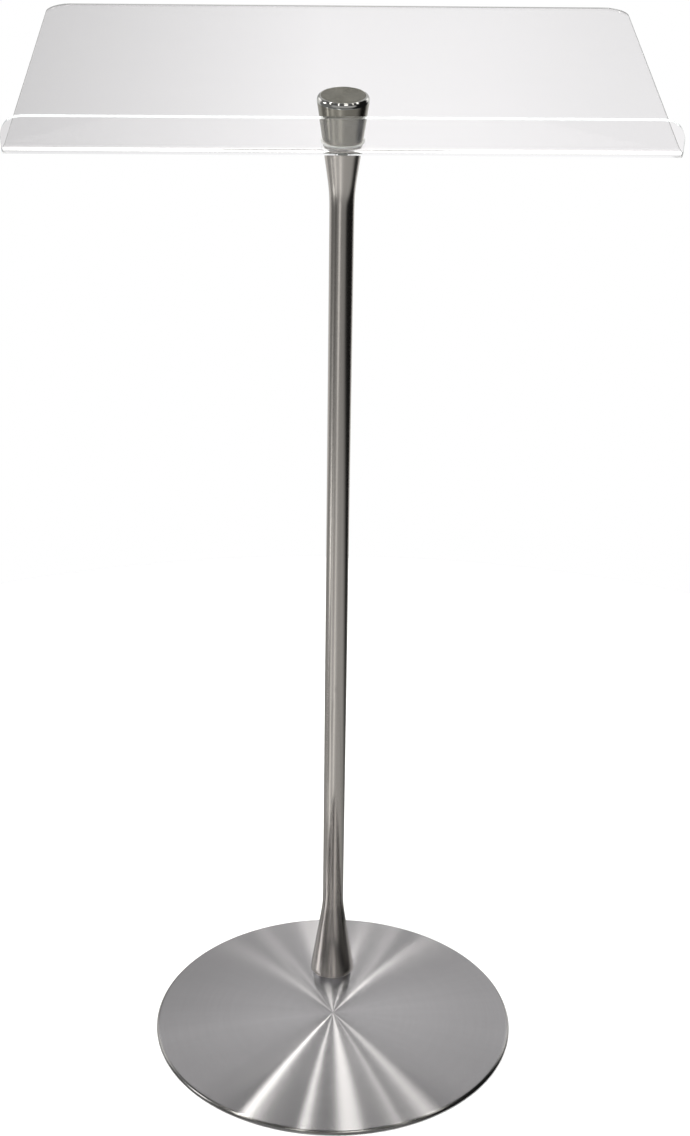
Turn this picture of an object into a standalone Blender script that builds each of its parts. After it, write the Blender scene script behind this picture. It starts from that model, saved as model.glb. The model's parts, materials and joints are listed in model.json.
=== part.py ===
"""Presentation lectern: clear acrylic reading shelf with a turned-up front lip, held by a flared
knob on a leaning flared steel column, which stands on a round weighted base.

The floor is z = 0, the base is centred on the origin and the reader stands on the -Y side.
The column leans towards the reader. Everything on the column is drawn in the column's own frame:
local Z is the column's axis, local Y runs up the reading surface away from the reader, local X is
the reader's right. The column and its foot plug have their origin where the axis meets the floor;
the shelf and its fittings have theirs where the axis meets the shelf's upper face.
"""

import math

import bmesh
import bpy

MM = 0.001
GAP = 0.3 * MM  # clearance between neighbouring pieces
SHARP_ANGLE = math.radians(28)  # edges steeper than this are shaded sharp

# --- the column's axis -----------------------------------------------------------------------
LEAN = math.radians(9.25)
FOOT_Y = 93.0 * MM  # where the axis meets the floor plane
SHELF_DISTANCE = 1040.0 * MM  # along the axis, to the shelf's upper face

# --- base ------------------------------------------------------------------------------------
BASE_R = 200.0 * MM
RIM_TOP = 4.6 * MM
DOME_RISE = 6.6 * MM
DOME_RADII = [r * MM for r in (55.0, 105.0, 150.0, 180.0)]  # rings that shape the dome
PAD_R = 194.0 * MM
PAD_T = 1.5 * MM
PAD_CHAMFER = 0.4 * MM
WEIGHT_R = 196.5 * MM
WEIGHT_SIDES = 56  # pad and weight
COVER_T = 1.2 * MM
COVER_SIDES = 72
SHOULDER_R = 196.8 * MM  # where the cover's upper face leaves the dome
SHOULDER_DROP = 0.05 * MM
INNER_SHOULDER_R = 197.0 * MM  # where its lower face joins the dome
# The cover's rim, down the outside and up the inside: inset from BASE_R and height, in mm.
COVER_RIM = [
    (1.2, 4.15), (0.3, 3.45), (0.0, 2.6), (0.0, 0.95), (0.4, 0.7),
    (1.0, 0.7), (1.3, 0.95), (1.3, 2.4), (2.0, 3.1),
]

# --- shelf sheet -----------------------------------------------------------------------------
SHELF_W = 610.0 * MM
SHEET_T = 5.0 * MM
SHELF_REAR = 372.0 * MM  # from the column's axis to the edge away from the reader
FLAT_STATIONS = [y * MM for y in (200.0, 60.0, -10.0)]  # local Y of sections on the flat part
BEND_Y = -21.5 * MM  # where the sheet starts to turn up
BEND_INNER_R = 8.0 * MM
BEND_STEPS = 12
LIP_LEAN = math.radians(6.0)  # towards the reader, from the column's axis
LIP_TOP = 35.5 * MM  # above the shelf's upper face
REAR_CORNER_R = 25.0 * MM
LIP_CORNER_R = 20.0 * MM
CORNER_STEPS = 8
SHELF_HOLE_R = 7.0 * MM
SHELF_HOLE_SIDES = 48
SHELF_HOLE_REACH = 12.0 * MM  # the hole's cutter, above and below the upper face

# --- fittings at the shelf: heights are from the shelf's upper face ---------------------------
STUD_R = 5.0 * MM
STUD_LOW = -39.0 * MM
STUD_HIGH = 29.0 * MM
STUD_CHAMFER = 0.8 * MM
STUD_SIDES = 32
STUD_HOLE_R = STUD_R + GAP
WASHER_T = 1.2 * MM
WASHER_CHAMFER = 0.25 * MM  # also on the bush
UPPER_WASHER_R = 20.0 * MM
LOWER_WASHER_R = 17.4 * MM
BUSH_R = SHELF_HOLE_R - GAP
HEAD_PLUG_LOW = -24.0 * MM
NUT_ACROSS_FLATS = 17.0 * MM
NUT_T = 8.0 * MM
NUT_STEPS = 4  # divisions of each flat

# --- knob ------------------------------------------------------------------------------------
KNOB_LOW = GAP + WASHER_T + GAP
KNOB_R = 18.4 * MM  # the side's radius, carried down to the shelf's upper face
KNOB_SLOPE = 0.144  # radius gained for each metre of height
KNOB_CHAMFER = 0.4 * MM
KNOB_SIDE_STATIONS = [h * MM for h in (2.5, 20.0)]
KNOB_RIM_LOW = 38.4 * MM
KNOB_TOP = 42.8 * MM
KNOB_FACE_R = 20.6 * MM
KNOB_RIM_STEPS = 7
KNOB_BORE_TOP = 31.0 * MM
KNOB_BORE_CONE = 1.5 * MM
KNOB_SIDES = 40  # also the shelf's washers and bush

# --- column ----------------------------------------------------------------------------------
TUBE_R = 11.6 * MM
WALL = 1.5 * MM
COLUMN_SIDES = 36
FOOT_R = 24.8 * MM
FOOT_EDGE_H = 1.6 * MM  # straight edge where the foot stands on the dome
FLARE_SLOPE = 0.135  # radius gained for each metre down the foot's flare
FLARE_START = 111.5 * MM  # up the axis from the floor plane
FLARE_BLEND = 5.0 * MM
HEAD_SLOPE = 0.142  # radius gained for each metre up the head's flare
HEAD_START = 51.0 * MM  # below the shelf's upper face
HEAD_BLEND = 5.5 * MM
COLUMN_TOP_DEPTH = SHEET_T + GAP + WASHER_T + GAP  # below the shelf's upper face
# Rings of the column: up the axis from the floor plane, and below the shelf's upper face.
FOOT_STATIONS = [s * MM for s in (22.0, 60.0, 90.0, 100.0, 106.0, 112.0, 118.0, 126.0, 140.0)]
TUBE_STATIONS = [s * MM for s in (440.0, 740.0)]
HEAD_DEPTHS = [d * MM for d in (76.0, 66.0, 60.0, 55.0, 50.0, 45.0, 39.0, 24.0)]
HEAD_DEPTHS.append(COLUMN_TOP_DEPTH)

# --- foot fixings: heights are from the floor, except the plug's ------------------------------
FOOT_PLUG_TOP = 34.0 * MM  # up the axis
SCREW_CIRCLE_R = 13.0 * MM
SCREW_ANGLES = (90.0, 210.0, 330.0)  # degrees
SCREW_R = 3.0 * MM
SCREW_TOP = 23.0 * MM
SCREW_CHAMFER = 0.6 * MM
SCREW_SIDES = 24
SCREW_HEAD_R = 5.2 * MM
SCREW_HEAD_H = 3.0 * MM
SCREW_HEAD_CHAMFER = 0.4 * MM
SOCKET_ACROSS_FLATS = 4.0 * MM
SOCKET_DEPTH = 1.8 * MM
SOCKET_OVERSHOOT = 1.0 * MM  # cutter below the screw's head
SCREW_HOLE_R = SCREW_R + GAP
SCREW_HOLE_TOP = SCREW_TOP + 1.2 * MM
HOLE_SIDES = 32  # pockets, drilled holes and foot washers
HOLE_PHASE = math.radians(3.0)  # turn of the hole cutters' facets about their axis
FOOT_WASHER_R = 6.0 * MM
FOOT_WASHER_T = 1.0 * MM
POCKET_R = 6.6 * MM
POCKET_TOP = 6.4 * MM
POCKET_CUTTER_LOW = -2.0 * MM
DRILL_LOW = 2.0 * MM
FOOT_WASHER_LOW = POCKET_TOP - GAP - FOOT_WASHER_T
SCREW_HEAD_LOW = FOOT_WASHER_LOW - GAP - SCREW_HEAD_H

for old in list(bpy.data.objects):
    bpy.data.objects.remove(old, do_unlink=True)


# --- materials -------------------------------------------------------------------------------
def material(name, colour, metallic, roughness, transmission=0.0):
    mat = bpy.data.materials.new(name)
    mat.use_nodes = True
    inputs = mat.node_tree.nodes["Principled BSDF"].inputs
    inputs["Base Color"].default_value = (*colour, 1.0)
    inputs["Metallic"].default_value = metallic
    inputs["Roughness"].default_value = roughness
    inputs["Transmission Weight"].default_value = transmission
    mat.diffuse_color = (*colour, 1.0)
    return mat


def metal(name, colour, roughness):
    return material(name, colour, metallic=1.0, roughness=roughness)


def nylon(name, colour):
    return material(name, colour, metallic=0.0, roughness=0.4)


COLUMN_STEEL = metal("brushed_steel", colour=(0.58, 0.56, 0.53), roughness=0.28)
BASE_STEEL = metal("brushed_steel_base", colour=(0.60, 0.59, 0.57), roughness=0.30)
KNOB_STEEL = metal("brushed_steel_knob", colour=(0.50, 0.49, 0.45), roughness=0.22)
IRON = material("cast_iron_weight", colour=(0.10, 0.10, 0.11), metallic=0.9, roughness=0.6)
PLUG_STEEL = metal("steel_plug", colour=(0.45, 0.45, 0.46), roughness=0.4)
FOOT_PLUG_STEEL = metal("steel_foot_plug", colour=(0.44, 0.44, 0.46), roughness=0.4)
STUD_ZINC = metal("zinc_plated", colour=(0.62, 0.62, 0.64), roughness=0.35)
NUT_ZINC = metal("zinc_plated_nut", colour=(0.60, 0.60, 0.63), roughness=0.35)
SCREW_ZINC = [
    metal(f"zinc_screw_{i}", colour=(0.60, 0.61, 0.64), roughness=0.3) for i in (1, 2, 3)
]
WASHER_ZINC = [
    metal(f"zinc_washer_{i}", colour=(0.66, 0.66, 0.67), roughness=0.3) for i in (1, 2, 3)
]
UPPER_NYLON = nylon("white_nylon", colour=(0.86, 0.86, 0.84))
LOWER_NYLON = nylon("white_nylon_lower", colour=(0.85, 0.85, 0.83))
BUSH_NYLON = nylon("white_nylon_bush", colour=(0.84, 0.84, 0.83))
RUBBER = material("pad_rubber", colour=(0.03, 0.03, 0.03), metallic=0.0, roughness=0.8)
ACRYLIC = material(
    "clear_acrylic", colour=(0.95, 0.97, 0.97), metallic=0.0, roughness=0.03, transmission=1.0
)


# --- building helpers ------------------------------------------------------------------------
def finish(name, shape, mat, smooth=True):
    """Turn a bmesh into an object of the scene."""
    bmesh.ops.recalc_face_normals(shape, faces=shape.faces)
    mesh = bpy.data.meshes.new(name)
    shape.to_mesh(mesh)
    shape.free()
    mesh.materials.append(mat)
    obj = bpy.data.objects.new(name, mesh)
    bpy.context.scene.collection.objects.link(obj)
    if smooth:
        mesh.shade_smooth()
        mesh.set_sharp_from_angle(angle=SHARP_ANGLE)
    return obj


def on_axis(obj, distance):
    """Stand an object on the column's axis, its local Z along it."""
    obj.location = (0.0, FOOT_Y - distance * math.sin(LEAN), distance * math.cos(LEAN))
    obj.rotation_euler = (LEAN, 0.0, 0.0)


def bridge(shape, first, second):
    """Join two closed loops of vertices with faces; a loop of one vertex is a point."""
    sides = max(len(first), len(second))
    if sides == 1:
        return
    for i in range(sides):
        j = (i + 1) % sides
        if len(first) == 1:
            shape.faces.new((first[0], second[i], second[j]))
        elif len(second) == 1:
            shape.faces.new((first[i], first[j], second[0]))
        else:
            shape.faces.new((first[i], first[j], second[j], second[i]))


def turned(name, rings, sides, mat, smooth=True, phase=0.0):
    """A solid of revolution. rings is a closed loop of (radius, height), where height is a
    number or a function of x and y; a ring of radius 0 is one point."""
    shape = bmesh.new()
    loops = []
    for radius, height in rings:
        if radius == 0.0:
            loops.append([shape.verts.new((0.0, 0.0, height))])
            continue
        loop = []
        for i in range(sides):
            angle = phase + 2 * math.pi * i / sides
            x, y = radius * math.cos(angle), radius * math.sin(angle)
            z = height(x, y) if callable(height) else height
            loop.append(shape.verts.new((x, y, z)))
        loops.append(loop)
    for first, second in zip(loops, loops[1:] + loops[:1]):
        bridge(shape, first, second)
    return finish(name, shape, mat, smooth)


def cylinder_rings(radius, low, high):
    return [(0.0, low), (radius, low), (radius, high), (0.0, high)]


def cutter(name, rings, sides, mat, phase=0.0):
    obj = turned(name, rings, sides, mat, smooth=False, phase=phase)
    obj.hide_render = True
    obj.display_type = "WIRE"
    return obj


def cut(target, tool):
    modifier = target.modifiers.new("cut", "BOOLEAN")
    modifier.operation = "DIFFERENCE"
    modifier.solver = "EXACT"
    modifier.object = tool


# --- base ------------------------------------------------------------------------------------
def dome_top(radius):
    return RIM_TOP + DOME_RISE * (1.0 - (radius / BASE_R) ** 2)


def build_pad():
    """A full disc, flat on the floor."""
    rings = [
        (0.0, 0.0), (PAD_R - PAD_CHAMFER, 0.0), (PAD_R, PAD_CHAMFER), (PAD_R, PAD_T), (0.0, PAD_T),
    ]
    turned("base_pad", rings, WEIGHT_SIDES, RUBBER)


def build_weight():
    """An iron disc that follows the underside of the dome."""
    low = PAD_T + GAP
    rings = [(0.0, low), (WEIGHT_R, low)]
    for radius in [WEIGHT_R, *reversed(DOME_RADII), 0.0]:
        rings.append((radius, dome_top(radius) - COVER_T - GAP))
    return turned("base_weight", rings, WEIGHT_SIDES, IRON)


def build_cover():
    """A thin dome with a turned-down rim."""
    rings = [(radius, dome_top(radius)) for radius in [0.0, *DOME_RADII]]
    rings.append((SHOULDER_R, dome_top(SHOULDER_R) - SHOULDER_DROP))
    rings += [(BASE_R - inset * MM, height * MM) for inset, height in COVER_RIM]
    for radius in [INNER_SHOULDER_R, *reversed(DOME_RADII), 0.0]:
        rings.append((radius, dome_top(radius) - COVER_T))
    return turned("base_cover", rings, COVER_SIDES, BASE_STEEL)


# --- where the foot meets the dome -----------------------------------------------------------
SEAT_DISTANCE = dome_top(FOOT_Y) / math.cos(LEAN)  # along the axis
SEAT_Y = FOOT_Y - SEAT_DISTANCE * math.sin(LEAN)
SEAT_ITERATIONS = 12


def seat_height(x, y):
    """Height along the local axis, at a local (x, y), of a surface that lies GAP above the
    dome, found by fixed-point iteration."""
    height = SEAT_DISTANCE
    for _ in range(SEAT_ITERATIONS):
        world_y = FOOT_Y - height * math.sin(LEAN) + y * math.cos(LEAN)
        world_z = dome_top(math.hypot(x, world_y)) + GAP
        height = (world_z - y * math.sin(LEAN)) / math.cos(LEAN)
    return height


# --- column ----------------------------------------------------------------------------------
def soft_ramp(x, blend):
    """x where x is large, 0 where it is well below 0, with a smooth bend between."""
    return blend * math.log1p(math.exp(x / blend))


def foot_flare(distance):
    """Outer radius of the lower column at a distance up the axis."""
    return TUBE_R + FLARE_SLOPE * soft_ramp(FLARE_START - distance, FLARE_BLEND)


def head_flare(depth):
    """Outer radius of the upper column at a depth below the shelf's upper face."""
    return TUBE_R + HEAD_SLOPE * soft_ramp(HEAD_START - depth, HEAD_BLEND)


def build_column():
    """One tube, flared at both ends, its foot cut to the dome."""
    side = [(foot_flare(distance), distance) for distance in FOOT_STATIONS]
    side += [(TUBE_R, distance) for distance in TUBE_STATIONS]
    side += [(head_flare(depth), SHELF_DISTANCE - depth) for depth in HEAD_DEPTHS]
    rings = [(FOOT_R, seat_height), (FOOT_R, lambda x, y: seat_height(x, y) + FOOT_EDGE_H)]
    rings += side
    rings += [(radius - WALL, height) for radius, height in reversed(side)]
    rings.append((FOOT_R - WALL, seat_height))
    on_axis(turned("column", rings, COLUMN_SIDES, COLUMN_STEEL), 0.0)


def build_foot_plug():
    """Plug in the foot; its taper follows the column's wall between the two lowest stations."""
    low, high = FOOT_STATIONS[:2]
    part = (high - FOOT_PLUG_TOP) / (high - low)
    wall_r = foot_flare(high) + (foot_flare(low) - foot_flare(high)) * part
    low_r = foot_flare(low) - WALL - GAP
    top_r = wall_r - WALL - GAP
    rings = [
        (0.0, seat_height(0.0, 0.0)), (low_r * 0.5, seat_height), (low_r, seat_height),
        (low_r, low), (top_r, FOOT_PLUG_TOP), (0.0, FOOT_PLUG_TOP),
    ]
    plug = turned("foot_plug", rings, COLUMN_SIDES, FOOT_PLUG_STEEL)
    on_axis(plug, 0.0)
    return plug


# --- foot fixings ----------------------------------------------------------------------------
def build_screw(number):
    """Head and shank in one piece, and the cutter that sinks the hexagon socket."""
    low, high = SCREW_HEAD_LOW, SCREW_HEAD_LOW + SCREW_HEAD_H
    rings = [
        (0.0, low), (SCREW_HEAD_R - SCREW_HEAD_CHAMFER, low),
        (SCREW_HEAD_R, low + SCREW_HEAD_CHAMFER), (SCREW_HEAD_R, high), (SCREW_R, high),
        (SCREW_R, SCREW_TOP - SCREW_CHAMFER), (SCREW_R - SCREW_CHAMFER, SCREW_TOP),
        (0.0, SCREW_TOP),
    ]
    screw = turned(f"foot_screw_{number}", rings, SCREW_SIDES, SCREW_ZINC[number - 1])
    rings = cylinder_rings(
        SOCKET_ACROSS_FLATS / math.sqrt(3), low - SOCKET_OVERSHOOT, low + SOCKET_DEPTH
    )
    socket = cutter(f"foot_screw_{number}_socket", rings, 6, PLUG_STEEL)
    cut(screw, socket)
    return screw, socket


def build_foot_washer(number):
    low, high = FOOT_WASHER_LOW, FOOT_WASHER_LOW + FOOT_WASHER_T
    rings = [
        (SCREW_HOLE_R, low), (FOOT_WASHER_R, low), (FOOT_WASHER_R, high), (SCREW_HOLE_R, high),
    ]
    return turned(f"foot_washer_{number}", rings, HOLE_SIDES, WASHER_ZINC[number - 1])


def build_pocket(number):
    """Cutter for the head's pocket and the screw's hole above it."""
    rings = [
        (0.0, POCKET_CUTTER_LOW), (POCKET_R, POCKET_CUTTER_LOW), (POCKET_R, POCKET_TOP),
        (SCREW_HOLE_R, POCKET_TOP), (SCREW_HOLE_R, SCREW_HOLE_TOP), (0.0, SCREW_HOLE_TOP),
    ]
    return cutter(f"foot_pocket_{number}", rings, HOLE_SIDES, PLUG_STEEL, HOLE_PHASE)


def build_drill(number):
    """Cutter for the screw's hole in the foot plug."""
    rings = cylinder_rings(SCREW_HOLE_R, DRILL_LOW, SCREW_HOLE_TOP)
    return cutter(f"foot_drill_{number}", rings, HOLE_SIDES, PLUG_STEEL, HOLE_PHASE)


def build_foot_fixings(weight, cover, foot_plug):
    """Three upright screws from below, each with a washer, and their holes."""
    for number, degrees in enumerate(SCREW_ANGLES, start=1):
        angle = math.radians(degrees)
        x = SCREW_CIRCLE_R * math.cos(angle)
        y = SEAT_Y + SCREW_CIRCLE_R * math.sin(angle)
        screw, socket = build_screw(number)
        washer = build_foot_washer(number)
        pocket = build_pocket(number)
        drill = build_drill(number)
        for obj in (screw, socket, washer, pocket, drill):
            obj.location = (x, y, 0.0)
        cut(weight, pocket)
        cut(cover, pocket)
        cut(foot_plug, drill)


# --- fittings at the shelf -------------------------------------------------------------------
def build_head_plug():
    low_r = head_flare(-HEAD_PLUG_LOW) - WALL - GAP
    top_r = head_flare(COLUMN_TOP_DEPTH) - WALL - GAP
    rings = [
        (STUD_HOLE_R, HEAD_PLUG_LOW), (low_r, HEAD_PLUG_LOW),
        (top_r, -COLUMN_TOP_DEPTH), (STUD_HOLE_R, -COLUMN_TOP_DEPTH),
    ]
    on_axis(turned("head_plug", rings, COLUMN_SIDES, PLUG_STEEL), SHELF_DISTANCE)


def build_stud():
    end_r = STUD_R - STUD_CHAMFER
    rings = [
        (0.0, STUD_LOW), (end_r, STUD_LOW), (STUD_R, STUD_LOW + STUD_CHAMFER),
        (STUD_R, STUD_HIGH - STUD_CHAMFER), (end_r, STUD_HIGH), (0.0, STUD_HIGH),
    ]
    on_axis(turned("stud", rings, STUD_SIDES, STUD_ZINC), SHELF_DISTANCE)


def build_locknut():
    """Hexagon nut under the head plug."""
    high = HEAD_PLUG_LOW - GAP
    low = high - NUT_T
    corner_r = NUT_ACROSS_FLATS / math.sqrt(3)
    corners = []
    for i in range(6):
        angle = math.radians(60 * i)
        corners.append((corner_r * math.cos(angle), corner_r * math.sin(angle)))
    outline, bore = [], []
    sides = 6 * NUT_STEPS
    for i in range(sides):
        flat, step = divmod(i, NUT_STEPS)
        part = step / NUT_STEPS
        start, end = corners[flat], corners[(flat + 1) % 6]
        outline.append([p + (q - p) * part for p, q in zip(start, end)])
        angle = 2 * math.pi * i / sides
        bore.append((STUD_HOLE_R * math.cos(angle), STUD_HOLE_R * math.sin(angle)))
    shape = bmesh.new()
    loops = []
    for points, z in ((outline, low), (outline, high), (bore, high), (bore, low)):
        loops.append([shape.verts.new((x, y, z)) for x, y in points])
    for first, second in zip(loops, loops[1:] + loops[:1]):
        bridge(shape, first, second)
    on_axis(finish("stud_locknut", shape, NUT_ZINC, smooth=False), SHELF_DISTANCE)


def build_collar(name, radius, low, high, mat):
    """Washer or bush round the stud, its outer edges chamfered."""
    edge = WASHER_CHAMFER
    rings = [
        (STUD_HOLE_R, low), (radius - edge, low), (radius, low + edge),
        (radius, high - edge), (radius - edge, high), (STUD_HOLE_R, high),
    ]
    on_axis(turned(name, rings, KNOB_SIDES, mat), SHELF_DISTANCE)


def build_knob():
    """Flared knob with a rounded rim, bored from below for the stud."""
    rings = [(STUD_HOLE_R, KNOB_LOW), (KNOB_R - KNOB_CHAMFER, KNOB_LOW)]
    rings += [(KNOB_R + KNOB_SLOPE * height, height) for height in KNOB_SIDE_STATIONS]
    rim_width = KNOB_R + KNOB_SLOPE * KNOB_RIM_LOW - KNOB_FACE_R
    rim_height = KNOB_TOP - KNOB_RIM_LOW
    for i in range(KNOB_RIM_STEPS + 1):
        angle = math.pi / 2 * i / KNOB_RIM_STEPS
        radius = KNOB_FACE_R + rim_width * math.cos(angle)
        rings.append((radius, KNOB_RIM_LOW + rim_height * math.sin(angle)))
    rings += [
        (0.0, KNOB_TOP), (0.0, KNOB_BORE_TOP), (STUD_HOLE_R, KNOB_BORE_TOP - KNOB_BORE_CONE),
    ]
    on_axis(turned("clamp_knob", rings, KNOB_SIDES, KNOB_STEEL), SHELF_DISTANCE)


# --- reading shelf ---------------------------------------------------------------------------
def corner_half_width(inset, radius):
    """Half width of the sheet at an inset from a rounded end, up to the corner's radius."""
    return SHELF_W / 2 - radius + math.sqrt(inset * (2 * radius - inset))


def bend_point(radius, angle):
    return BEND_Y - radius * math.sin(angle), BEND_INNER_R - radius * math.cos(angle)


def shelf_sections():
    """Sections from the far edge to the lip's top: half width, then (y, z) on the upper face
    and on the lower face."""
    sections = []
    for i in range(CORNER_STEPS + 1):
        inset = REAR_CORNER_R * (1 - math.cos(math.pi / 2 * i / CORNER_STEPS))
        y = SHELF_REAR - inset
        sections.append((corner_half_width(inset, REAR_CORNER_R), (y, 0.0), (y, -SHEET_T)))
    for y in FLAT_STATIONS:
        sections.append((SHELF_W / 2, (y, 0.0), (y, -SHEET_T)))
    for i in range(BEND_STEPS + 1):
        angle = (math.pi / 2 - LIP_LEAN) * i / BEND_STEPS
        upper = bend_point(BEND_INNER_R, angle)
        lower = bend_point(BEND_INNER_R + SHEET_T, angle)
        sections.append((SHELF_W / 2, upper, lower))
    # The lip runs straight on from the bend's last section.
    up_y, up_z = -math.sin(LIP_LEAN), math.cos(LIP_LEAN)
    length = (LIP_TOP - upper[1]) / up_z
    for i in range(CORNER_STEPS + 1):
        inset = LIP_CORNER_R * math.cos(math.pi / 2 * i / CORNER_STEPS)
        run = length - inset
        points = [(y + up_y * run, z + up_z * run) for y, z in (upper, lower)]
        sections.append((corner_half_width(inset, LIP_CORNER_R), *points))
    return sections


def build_shelf():
    """One bent sheet, with a hole for the bush."""
    shape = bmesh.new()
    rows = []
    for width, upper, lower in shelf_sections():
        corners = ((-width, *upper), (width, *upper), (width, *lower), (-width, *lower))
        rows.append([shape.verts.new(point) for point in corners])
    for first, second in zip(rows, rows[1:]):
        bridge(shape, first, second)
    shape.faces.new(rows[0])
    shape.faces.new(list(reversed(rows[-1])))
    shelf = finish("reading_shelf", shape, ACRYLIC)
    on_axis(shelf, SHELF_DISTANCE)
    rings = cylinder_rings(SHELF_HOLE_R, -SHELF_HOLE_REACH, SHELF_HOLE_REACH)
    hole = cutter("shelf_hole", rings, SHELF_HOLE_SIDES, ACRYLIC)
    on_axis(hole, SHELF_DISTANCE)
    cut(shelf, hole)


build_pad()
base_weight = build_weight()
base_cover = build_cover()
build_column()
build_foot_fixings(base_weight, base_cover, build_foot_plug())
build_head_plug()
build_stud()
build_locknut()
build_collar("upper_washer", UPPER_WASHER_R, GAP, GAP + WASHER_T, UPPER_NYLON)
build_collar(
    "lower_washer", LOWER_WASHER_R, -SHEET_T - GAP - WASHER_T, -SHEET_T - GAP, LOWER_NYLON
)
build_collar("shelf_bush", BUSH_R, -SHEET_T, 0.0, BUSH_NYLON)
build_knob()
build_shelf()
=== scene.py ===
# Reading stand: a bent sheet of clear acrylic with a lip along its front, turning on a
# tilted steel column that flares at both ends. The column rises from a round, slightly
# domed steel base, and a flared knob clamps the shelf from above.
# World frame, in metres: +Z up, floor at z = 0, base centred on the origin, reader at -Y,
# +X to the right. The stand's frame has its origin on the column's axis at the shelf's
# upper face: x right, y up the reading surface (away from the reader), z up the column.
import json
import math

import bmesh
import bpy
from mathutils import Matrix, Vector


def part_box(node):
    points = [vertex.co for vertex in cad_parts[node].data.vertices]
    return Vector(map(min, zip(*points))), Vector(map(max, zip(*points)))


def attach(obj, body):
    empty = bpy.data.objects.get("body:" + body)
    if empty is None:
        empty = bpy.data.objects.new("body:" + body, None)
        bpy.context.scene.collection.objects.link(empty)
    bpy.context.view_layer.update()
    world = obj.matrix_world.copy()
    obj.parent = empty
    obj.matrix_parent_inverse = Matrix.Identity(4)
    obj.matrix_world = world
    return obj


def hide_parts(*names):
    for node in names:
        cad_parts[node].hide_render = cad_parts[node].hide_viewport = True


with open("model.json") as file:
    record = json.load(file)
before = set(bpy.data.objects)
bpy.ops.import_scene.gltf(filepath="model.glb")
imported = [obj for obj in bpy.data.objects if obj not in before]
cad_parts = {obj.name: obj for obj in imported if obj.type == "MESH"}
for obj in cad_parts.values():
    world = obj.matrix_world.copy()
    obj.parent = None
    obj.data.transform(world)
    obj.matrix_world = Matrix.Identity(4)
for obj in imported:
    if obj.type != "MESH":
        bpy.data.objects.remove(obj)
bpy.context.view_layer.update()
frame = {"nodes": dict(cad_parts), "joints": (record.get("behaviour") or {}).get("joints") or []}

MM = 0.001


# =============================================================================================
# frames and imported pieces
# =============================================================================================
def placement(x_axis, y_axis, z_axis, origin):
    """Matrix that takes a frame with these axes and origin to the world."""
    return Matrix(((*x_axis, 0.0), (*y_axis, 0.0), (*z_axis, 0.0), (*origin, 1.0))).transposed()


joints = {joint["name"]: joint for joint in frame["joints"]}
AXIS = Vector(joints["shelf_swivel"]["axis"]).normalized()
HEAD = Vector(joints["shelf_swivel"]["pos_m"])
RIGHT = Vector((1.0, 0.0, 0.0))
UP = Vector((0.0, 0.0, 1.0))
ORIGIN = Vector((0.0, 0.0, 0.0))
STAND = placement(RIGHT, AXIS.cross(RIGHT).normalized(), AXIS, HEAD)
TO_STAND = STAND.inverted()
TO_WORLD = Matrix.Identity(4)


def points(node, to_frame=TO_STAND):
    return [to_frame @ v.co for v in frame["nodes"][node].data.vertices]


def span(node, to_frame=TO_STAND):
    """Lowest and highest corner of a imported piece."""
    pts = points(node, to_frame)
    lo = Vector((min(p.x for p in pts), min(p.y for p in pts), min(p.z for p in pts)))
    hi = Vector((max(p.x for p in pts), max(p.y for p in pts), max(p.z for p in pts)))
    return lo, hi


def widest(node, z0, z1):
    """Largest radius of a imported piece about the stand's axis between two heights."""
    return max(math.hypot(p.x, p.y) for p in points(node) if z0 <= p.z <= z1)


def hand_over(obj, body, node):
    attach(obj, body)
    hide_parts(node)


# =============================================================================================
# mesh helpers
# =============================================================================================
def make(name, bm, mats, sharp=30.0, matrix=None):
    """Turn a bmesh into a smooth object with its edges sharp above an angle in degrees."""
    bmesh.ops.remove_doubles(bm, verts=bm.verts, dist=1e-7)
    bmesh.ops.recalc_face_normals(bm, faces=bm.faces)
    if matrix is not None:
        bm.transform(matrix)
    mesh = bpy.data.meshes.new(name)
    bm.to_mesh(mesh)
    bm.free()
    for mat in mats:
        mesh.materials.append(mat)
    mesh.shade_smooth()
    mesh.set_sharp_from_angle(angle=math.radians(sharp))
    obj = bpy.data.objects.new(name, mesh)
    bpy.context.scene.collection.objects.link(obj)
    return obj


def lathe(profile, sides, phase=0.0):
    """A closed solid of revolution from a closed loop of (radius, height, material index).
    A height may be a function of x and y, for an end that follows another surface."""
    bm = bmesh.new()
    loops = []
    for radius, z, _ in profile:
        loop = []
        for i in range(sides if radius else 1):
            angle = phase + 2 * math.pi * i / sides
            x, y = radius * math.cos(angle), radius * math.sin(angle)
            loop.append(bm.verts.new((x, y, z(x, y) if callable(z) else z)))
        loops.append(loop)
    for a, b, (_, _, mat_index) in zip(loops, loops[1:] + loops[:1], profile):
        if len(a) == 1 and len(b) == 1:
            continue
        for i in range(sides):
            j = (i + 1) % sides
            if len(a) == 1:
                face = bm.faces.new((a[0], b[i], b[j]))
            elif len(b) == 1:
                face = bm.faces.new((a[i], a[j], b[0]))
            else:
                face = bm.faces.new((a[i], a[j], b[j], b[i]))
            face.material_index = mat_index
    return bm


def arc(centre, radius, sweep, steps, mat_index=0, rise=None):
    """Profile points of a fillet about centre (radius, height), swept between two angles
    in degrees. rise is its vertical radius where that differs."""
    rise = radius if rise is None else rise
    out = []
    for k in range(steps + 1):
        angle = math.radians(sweep[0] + (sweep[1] - sweep[0]) * k / steps)
        out.append((
            centre[0] + radius * math.cos(angle),
            centre[1] + rise * math.sin(angle),
            mat_index,
        ))
    return out


def ring(bm, radii, z, x=0.0, y=0.0):
    """Vertices round (x, y), one for each radius."""
    sides = len(radii)
    verts = []
    for i, radius in enumerate(radii):
        angle = 2 * math.pi * i / sides
        verts.append(bm.verts.new((x + radius * math.cos(angle), y + radius * math.sin(angle), z)))
    return verts


def hexagon(apothem, sides):
    """Radii of a hexagon sampled at evenly spaced angles."""
    angles = [2 * math.pi * i / sides for i in range(sides)]
    return [apothem / math.cos((a % (math.pi / 3)) - math.pi / 6) for a in angles]


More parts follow.
